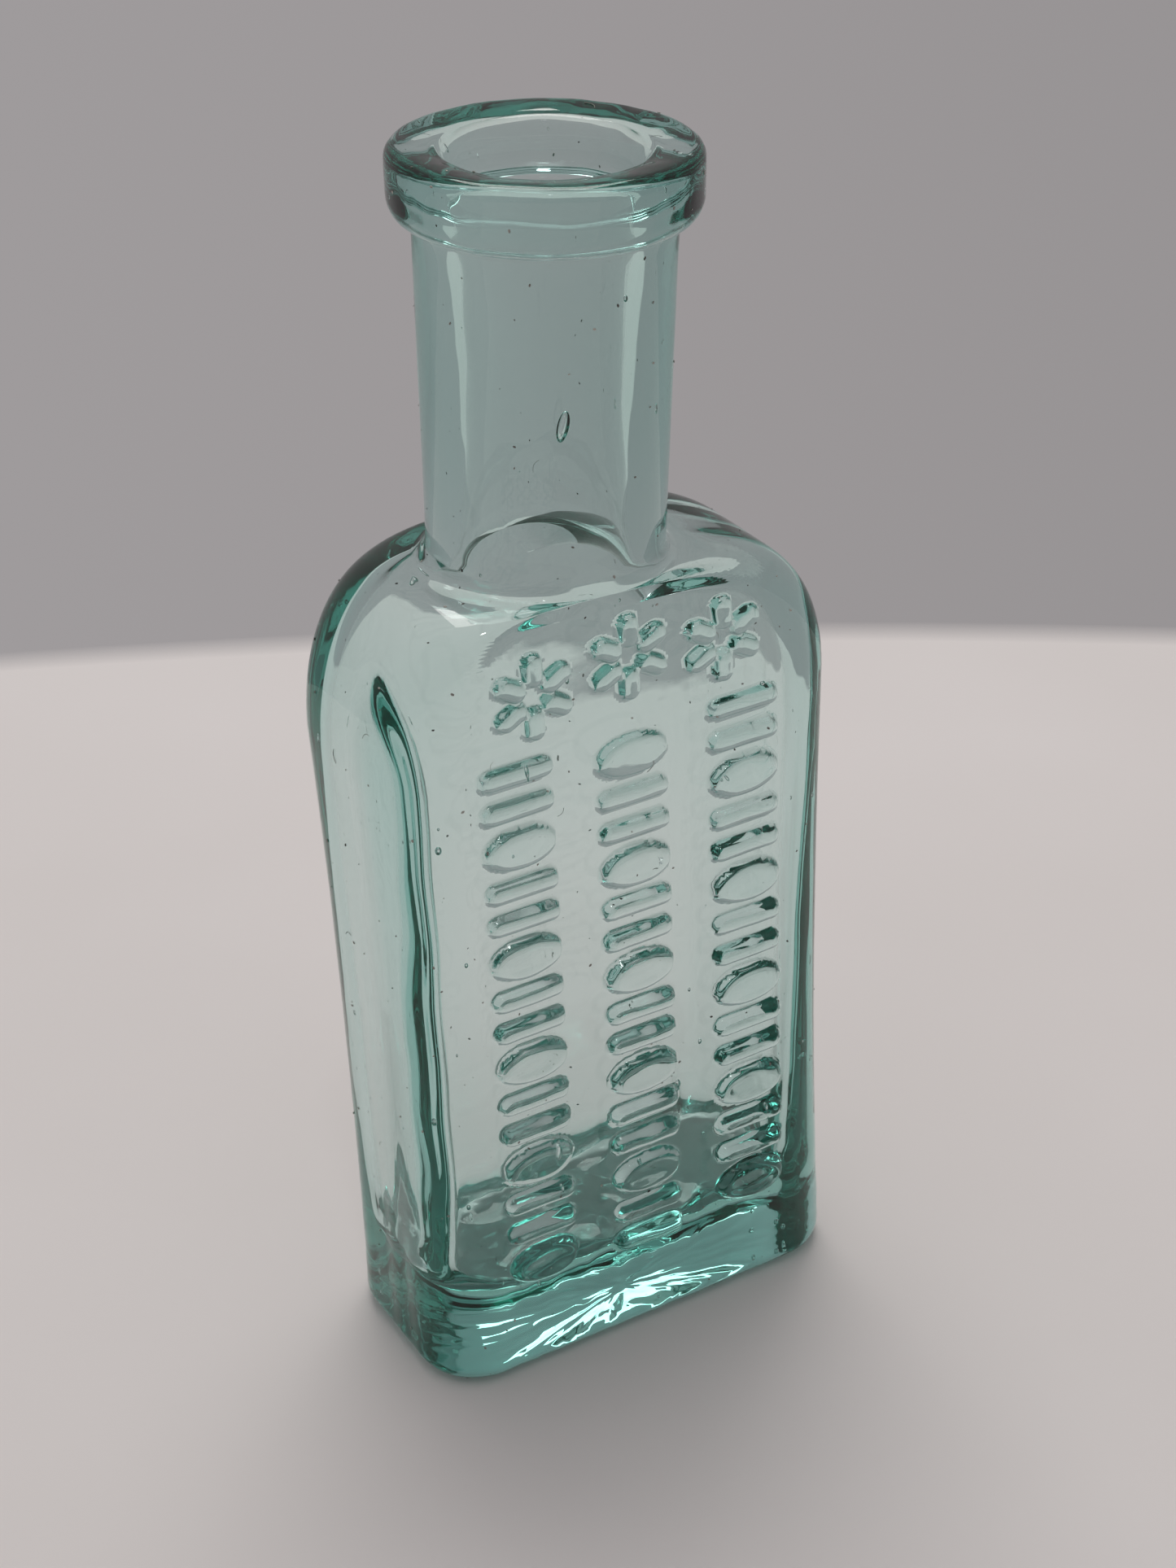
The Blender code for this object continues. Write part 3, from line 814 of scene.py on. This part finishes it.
def glass_tree(material):
    """Raises the ornament, lets the walls wander as blown glass does, and traps small bubbles."""
    tree = Tree(
        "blown_glass_surface",
        {
            "Relief": RELIEF,
            "Slope Width": SLOPE_WIDTH,
            "Mark Width": MARK_WIDTH,
            "Bead Tallness": BEAD_TALLNESS,
            "Repeat": REPEAT,
            "Reel Gap": REEL_GAP,
            "Column Spacing": COLUMN_SPACING,
            "Lowest Bead": LOWEST_BEAD,
            "Rosette Width": ROSETTE_WIDTH,
            "Rosette Spacing": ROSETTE_SPACING,
            "Inner Wander": INNER_WANDER,
            "Inner Ripple": INNER_RIPPLE,
            "Outer Wander": OUTER_WANDER,
            "Outer Ripple": OUTER_RIPPLE,
            "Draw Lines": DRAW_LINES,
            "Heel Ripple": HEEL_RIPPLE,
            "Lip Ripple": LIP_RIPPLE,
            "Corner Fold": FOLD_THICKNESS,
            "Floor Lumps": FLOOR_LUMPS,
            "Underside Ripple": UNDERSIDE_RIPPLE,
            "Seeds Per Area": SEEDS_PER_AREA,
            "Seed Size": SEED_SIZE,
        },
    )
    start = tree.start.outputs["Geometry"]
    outside = tree.put("GeometryNodeInputNamedAttribute", "outside", data_type="FLOAT")
    wear = tree.maths("MULTIPLY_ADD", tree.noise((1.0, 1.0, 1.0), 5.0 * MM), 0.7, 0.9)
    lift = tree.maths("MULTIPLY", tree.maths("MULTIPLY", mark_height(tree), wear), tree.size("Relief"))
    forward = tree.vector(0.0, tree.maths("MULTIPLY", lift, -1.0), 0.0)
    marked = tree.put(
        "GeometryNodeSetPosition", start, named={"Selection": outside, "Offset": forward}
    )

    along_normal = tree.scaled(tree.put("GeometryNodeInputNormal"), wall_straying(tree, outside))
    wavy = tree.put("GeometryNodeSetPosition", marked, named={"Offset": along_normal})

    scatter = tree.group.nodes.new("GeometryNodeDistributePointsOnFaces")
    scatter.inputs["Seed"].default_value = 7
    tree.group.links.new(wavy, scatter.inputs["Mesh"])
    tree.group.links.new(outside, scatter.inputs["Selection"])
    tree.group.links.new(tree.size("Seeds Per Area"), scatter.inputs["Density"])
    depth = tree.put(
        "FunctionNodeRandomValue",
        named={2: -1.5 * MM, 3: -0.5 * MM, "Seed": 3},
        out=1,
        data_type="FLOAT",
    )
    buried = tree.put(
        "GeometryNodeSetPosition",
        scatter.outputs["Points"],
        named={"Offset": tree.scaled(scatter.outputs["Normal"], depth)},
    )
    pick = tree.put(
        "FunctionNodeRandomValue", named={2: 0.0, 3: 1.0, "Seed": 5}, out=1, data_type="FLOAT"
    )
    seed_scale = tree.maths("MULTIPLY_ADD", tree.maths("POWER", pick, 4.0), 0.85, 0.15)
    size = tree.maths("MULTIPLY", seed_scale, tree.size("Seed Size"))
    bead = tree.put("GeometryNodeMeshIcoSphere", 1.0, 2)
    seeds = tree.put(
        "GeometryNodeInstanceOnPoints",
        buried,
        named={"Instance": bead, "Scale": tree.vector(size, size, tree.maths("MULTIPLY", size, 1.6))},
    )
    bubble = tree.put(
        "GeometryNodeTransform",
        tree.put("GeometryNodeMeshIcoSphere", 1.0, 4),
        named={
            "Translation": BUBBLE_PLACE,
            "Rotation": (0.0, BUBBLE_TILT, 0.0),
            "Scale": BUBBLE_SIZES,
        },
    )
    solid_seeds = tree.put("GeometryNodeRealizeInstances", joined(tree, [seeds, bubble]))
    hollow_seeds = tree.put("GeometryNodeFlipFaces", solid_seeds)
    whole = tree.put("GeometryNodeRealizeInstances", joined(tree, [wavy, hollow_seeds]))
    smooth = tree.put("GeometryNodeSetShadeSmooth", whole)
    finished = tree.put("GeometryNodeSetMaterial", smooth, named={"Material": material})
    tree.group.links.new(finished, tree.end.inputs[0])
    return tree


def dust_tree(material):
    """Specks and short fibres of dust lying on the outside of the glass."""
    tree = Tree(
        "settled_dust",
        {
            "Specks Per Area": SPECKS_PER_AREA,
            "Speck Size": SPECK_SIZE,
            "Fibres Per Area": FIBRES_PER_AREA,
            "Fibre Length": FIBRE_LENGTH,
        },
    )
    outside = tree.put("GeometryNodeInputNamedAttribute", "outside", data_type="FLOAT")

    def scattered(density, seed, shape, smallest, largest, lift):
        scatter = tree.group.nodes.new("GeometryNodeDistributePointsOnFaces")
        scatter.inputs["Seed"].default_value = seed
        tree.group.links.new(tree.start.outputs["Geometry"], scatter.inputs["Mesh"])
        tree.group.links.new(outside, scatter.inputs["Selection"])
        tree.group.links.new(density, scatter.inputs["Density"])
        normal = scatter.outputs["Normal"]
        above = tree.scaled(normal, lift)
        points = tree.put("GeometryNodeSetPosition", scatter.outputs["Points"], named={"Offset": above})
        pick = tree.put(
            "FunctionNodeRandomValue",
            named={2: smallest, 3: largest, "Seed": seed + 1},
            out=1,
            data_type="FLOAT",
        )
        spin = tree.put(
            "FunctionNodeRandomValue",
            named={2: 0.0, 3: 2 * math.pi, "Seed": seed + 2},
            out=1,
            data_type="FLOAT",
        )
        upright = tree.put("FunctionNodeAlignRotationToVector", named={"Vector": normal}, axis="Z")
        about = tree.vector(0.0, 0.0, spin)
        turned = tree.put("FunctionNodeRotateRotation", upright, about, rotation_space="LOCAL")
        return tree.put(
            "GeometryNodeInstanceOnPoints",
            points,
            named={"Instance": shape, "Scale": pick, "Rotation": turned},
        )

    size = tree.size("Speck Size")
    speck = tree.put(
        "GeometryNodeTransform",
        tree.put("GeometryNodeMeshIcoSphere", size, 1),
        named={"Scale": (1.3, 0.8, 0.4)},
    )
    length = tree.size("Fibre Length")
    bend = tree.put(
        "GeometryNodeCurveQuadraticBezier",
        6,
        tree.vector(tree.maths("MULTIPLY", length, -0.5), 0.0, 0.0),
        tree.vector(0.0, tree.maths("MULTIPLY", length, 0.45), 0.0),
        tree.vector(tree.maths("MULTIPLY", length, 0.5), 0.0, 0.0),
    )
    thread = tree.put("GeometryNodeCurvePrimitiveCircle", named={"Resolution": 4, "Radius": FIBRE_RADIUS})
    fibre = tree.put("GeometryNodeCurveToMesh", bend, thread, named={"Fill Caps": True})
    specks = scattered(tree.size("Specks Per Area"), 21, speck, 0.2, 1.0, 0.03 * MM)
    fibres = scattered(tree.size("Fibres Per Area"), 31, fibre, 0.4, 1.2, 0.035 * MM)
    whole = tree.put("GeometryNodeRealizeInstances", joined(tree, [specks, fibres]))
    finished = tree.put("GeometryNodeSetMaterial", whole, named={"Material": material})
    tree.group.links.new(finished, tree.end.inputs[0])
    return tree


# Finishes.


class Finish:
    """A material written down node by node."""

    def __init__(self, name):
        self.material = bpy.data.materials.new(name)
        self.material.use_nodes = True
        self.nodes = self.material.node_tree.nodes
        self.links = self.material.node_tree.links
        self.shader = self.nodes["Principled BSDF"]
        self.output = self.nodes["Material Output"]

    def put(self, kind, *inputs, named=None, out=0, **settings):
        """Adds a node and gives back one of its outputs."""
        node = put_node(self.nodes, self.links, kind, inputs, named, settings)
        return node.outputs[out]

    def set(self, **values):
        for label, value in values.items():
            self.shader.inputs[label.replace("_", " ")].default_value = value

    def drive(self, label, socket):
        self.links.new(socket, self.shader.inputs[label])

    def noise(self, wavelength, detail=3.0, stretch=(1.0, 1.0, 1.0)):
        place = self.put("ShaderNodeTexCoord", out="Object")
        drawn = self.put("ShaderNodeMapping", place, named={"Scale": stretch})
        return self.put(
            "ShaderNodeTexNoise",
            named={"Vector": drawn, "Scale": 1.0 / wavelength, "Detail": detail},
        )

    def ramp(self, value, low, high, to_low, to_high):
        return self.put(
            "ShaderNodeMapRange",
            named={
                "Value": value,
                "From Min": low,
                "From Max": high,
                "To Min": to_low,
                "To Max": to_high,
            },
        )


def aqua_glass():
    """Clear old aqua glass, fire-polished."""
    finish = Finish("aqua_glass")
    finish.set(Base_Color=(1.0, 1.0, 1.0, 1.0), IOR=GLASS_IOR, Metallic=0.0)
    finish.set(Transmission_Weight=1.0, Roughness=0.0)
    absorb = finish.nodes.new("ShaderNodeVolumeAbsorption")
    absorb.inputs["Color"].default_value = GLASS_TINT
    absorb.inputs["Density"].default_value = GLASS_DENSITY
    finish.links.new(absorb.outputs[0], finish.output.inputs["Volume"])
    return finish.material


def dust():
    """Dull grey-brown dust."""
    finish = Finish("settled_dust")
    shade = finish.noise(1.7 * MM, 2.0)
    tone = finish.put(
        "ShaderNodeMix",
        named={
            "Factor": finish.ramp(shade, 0.35, 0.65, 0.0, 1.0),
            "A": DUST_TONES[0],
            "B": DUST_TONES[1],
        },
        data_type="RGBA",
        out="Result",
    )
    finish.drive("Base Color", tone)
    finish.set(Roughness=0.9)
    return finish.material


def table_paper(centre, radius):
    """A matt pale sheet whose far edge fades into the surround."""
    finish = Finish("pale_table")
    mottle = finish.noise(60.0 * MM, 3.0)
    grain = finish.noise(0.8 * MM, 2.0)
    tone = finish.put(
        "ShaderNodeMix",
        named={
            "Factor": finish.ramp(mottle, 0.3, 0.7, 0.0, 1.0),
            "A": TABLE_TONES[0],
            "B": TABLE_TONES[1],
        },
        data_type="RGBA",
        out="Result",
    )
    finish.drive("Base Color", tone)
    finish.set(Roughness=0.75, Specular_IOR_Level=0.25)
    bump = finish.put(
        "ShaderNodeBump", named={"Strength": 0.15, "Distance": 0.05 * MM, "Height": grain}
    )
    finish.drive("Normal", bump)
    place = finish.put("ShaderNodeTexCoord", out="Object")
    away = finish.put("ShaderNodeVectorMath", place, centre, operation="DISTANCE", out="Value")
    finish.drive("Alpha", finish.ramp(away, radius - 4.0 * MM, radius, 1.0, 0.0))
    return finish.material


# Stage, light and camera.

CAMERA_AZIMUTH = math.radians(-28.88)
CAMERA_ELEVATION = math.radians(30.39)
CAMERA_ROLL = math.radians(-2.52)
CAMERA_DISTANCE = 189.65 * MM
CAMERA_AIM = Vector((1.14 * MM, 0.0, 37.9 * MM))
CAMERA_LENS = 68.97
LIGHT_BOUNCES = 40
SKY_COLOUR = (0.333, 0.315, 0.32, 1.0)
SKY_OVERHEAD = 1.66
SKY_BEHIND_VIEWER = 0.7
OVERHEAD_PLACE = (0.12, 0.22, 0.55)
OVERHEAD_AIM = (0.03, 0.05, 0.0)
OVERHEAD_SIZE = (0.32, 0.32)
OVERHEAD_POWER = 1.3
WARM_WHITE = (1.0, 0.965, 0.93)
GLINT_PLACE = (-0.154, -0.387, 0.903)
GLINT_AIM = (0.0, 0.0, 0.04)
GLINT_SIZE = (0.05, 0.05)
GLINT_POWER = 0.25
TABLE_RADIUS = 500 * MM
TABLE_EDGE_BEHIND = 96.3 * MM
TABLE_SHIFT = -22 * MM


def flat_direction(azimuth):
    """The level direction that a camera at this azimuth looks along."""
    return Vector((-math.sin(azimuth), math.cos(azimuth), 0.0))


def make_camera():
    data = bpy.data.cameras.new("camera")
    data.lens = CAMERA_LENS
    data.sensor_width = 36.0
    data.clip_start = 10 * MM
    data.clip_end = 10.0
    camera = bpy.data.objects.new("camera", data)
    bpy.context.scene.collection.objects.link(camera)
    level_part = math.cos(CAMERA_ELEVATION)
    back = -flat_direction(CAMERA_AZIMUTH) * level_part + Vector((0, 0, math.sin(CAMERA_ELEVATION)))
    turn = (-back).to_track_quat("-Z", "Y").to_matrix().to_4x4()
    place = Matrix.Translation(CAMERA_AIM + back * CAMERA_DISTANCE)
    camera.matrix_world = place @ turn @ Matrix.Rotation(CAMERA_ROLL, 4, "Z")
    bpy.context.scene.camera = camera


def make_table():
    ahead = flat_direction(CAMERA_AZIMUTH)
    right = Vector((ahead.y, -ahead.x, 0.0))
    centre = ahead * (TABLE_EDGE_BEHIND - TABLE_RADIUS) + right * TABLE_SHIFT
    mesh = bpy.data.meshes.new("table_top")
    count = 128
    turns = [2 * math.pi * i / count for i in range(count)]
    rim = [centre + Vector((math.cos(t), math.sin(t), 0.0)) * TABLE_RADIUS for t in turns]
    mesh.from_pydata([tuple(p) for p in rim], [], [tuple(range(count))])
    mesh.materials.append(table_paper(tuple(centre), TABLE_RADIUS))
    table = bpy.data.objects.new("table_top", mesh)
    bpy.context.scene.collection.objects.link(table)


def soft_light(name, place, aim, size, power, colour=(1.0, 1.0, 1.0)):
    data = bpy.data.lights.new(name, "AREA")
    data.shape = "RECTANGLE"
    data.size, data.size_y = size
    data.energy = power
    data.color = colour
    light = bpy.data.objects.new(name, data)
    light.location = place
    light.rotation_mode = "QUATERNION"
    light.rotation_quaternion = (Vector(aim) - Vector(place)).to_track_quat("-Z", "Y")
    bpy.context.scene.collection.objects.link(light)


def make_surround():
    """A plain grey surround, a little lighter to the left, and darker on the viewer's side."""
    world = bpy.data.worlds.new("surround")
    world.use_nodes = True
    nodes, links = world.node_tree.nodes, world.node_tree.links

    def towards(direction, low, high, to_low, to_high):
        turned = nodes.new("ShaderNodeVectorMath")
        turned.operation = "DOT_PRODUCT"
        turned.inputs[1].default_value = direction
        links.new(place.outputs["Generated"], turned.inputs[0])
        ramp = nodes.new("ShaderNodeMapRange")
        ramp.interpolation_type = "SMOOTHSTEP"
        for label, value in zip(("From Min", "From Max", "To Min", "To Max"), (low, high, to_low, to_high)):
            ramp.inputs[label].default_value = value
        links.new(turned.outputs["Value"], ramp.inputs["Value"])
        return ramp.outputs[0]

    place = nodes.new("ShaderNodeTexCoord")
    ahead = flat_direction(CAMERA_AZIMUTH)
    right = (ahead.y, -ahead.x, 0.0)
    overhead = towards((0.0, 0.0, 1.0), 0.35, 0.95, 1.0, SKY_OVERHEAD)
    viewer_side = towards(tuple(-ahead), -0.2, 0.8, 1.0, SKY_BEHIND_VIEWER)
    rightwards = towards(right, -0.35, 0.35, 1.06, 0.92)
    product = overhead
    for factor in (viewer_side, rightwards):
        times = nodes.new("ShaderNodeMath")
        times.operation = "MULTIPLY"
        links.new(product, times.inputs[0])
        links.new(factor, times.inputs[1])
        product = times.outputs[0]
    background = nodes["Background"]
    background.inputs["Color"].default_value = SKY_COLOUR
    links.new(product, background.inputs["Strength"])
    bpy.context.scene.world = world


def let_light_travel():
    """Thick glass leads light round its corners, through many reflections inside the wall."""
    paths = bpy.context.scene.cycles
    paths.max_bounces = LIGHT_BOUNCES
    paths.glossy_bounces = LIGHT_BOUNCES
    paths.transmission_bounces = LIGHT_BOUNCES


def make_vessel():
    glass = aqua_glass()
    mesh = glass_tree(glass).grown(drawn_glass(), "glass_vessel")
    vessel = bpy.data.objects.new("glass_vessel", mesh)
    bpy.context.scene.collection.objects.link(vessel)
    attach(vessel, "root")
    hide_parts("blown_body", "laid_on_lip")
    return vessel


def settle_dust(vessel):
    """The dust is a piece of its own, so that it can be left out."""
    mesh = dust_tree(dust()).grown(vessel.data.copy(), "settled_dust")
    piece = bpy.data.objects.new("settled_dust", mesh)
    bpy.context.scene.collection.objects.link(piece)
    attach(piece, "root")


settle_dust(make_vessel())
make_table()
make_surround()
soft_light("overhead", OVERHEAD_PLACE, OVERHEAD_AIM, OVERHEAD_SIZE, OVERHEAD_POWER, WARM_WHITE)
soft_light("window_glint", GLINT_PLACE, GLINT_AIM, GLINT_SIZE, GLINT_POWER)
make_camera()
let_light_travel()
bpy.context.scene.view_settings.view_transform = "Standard"
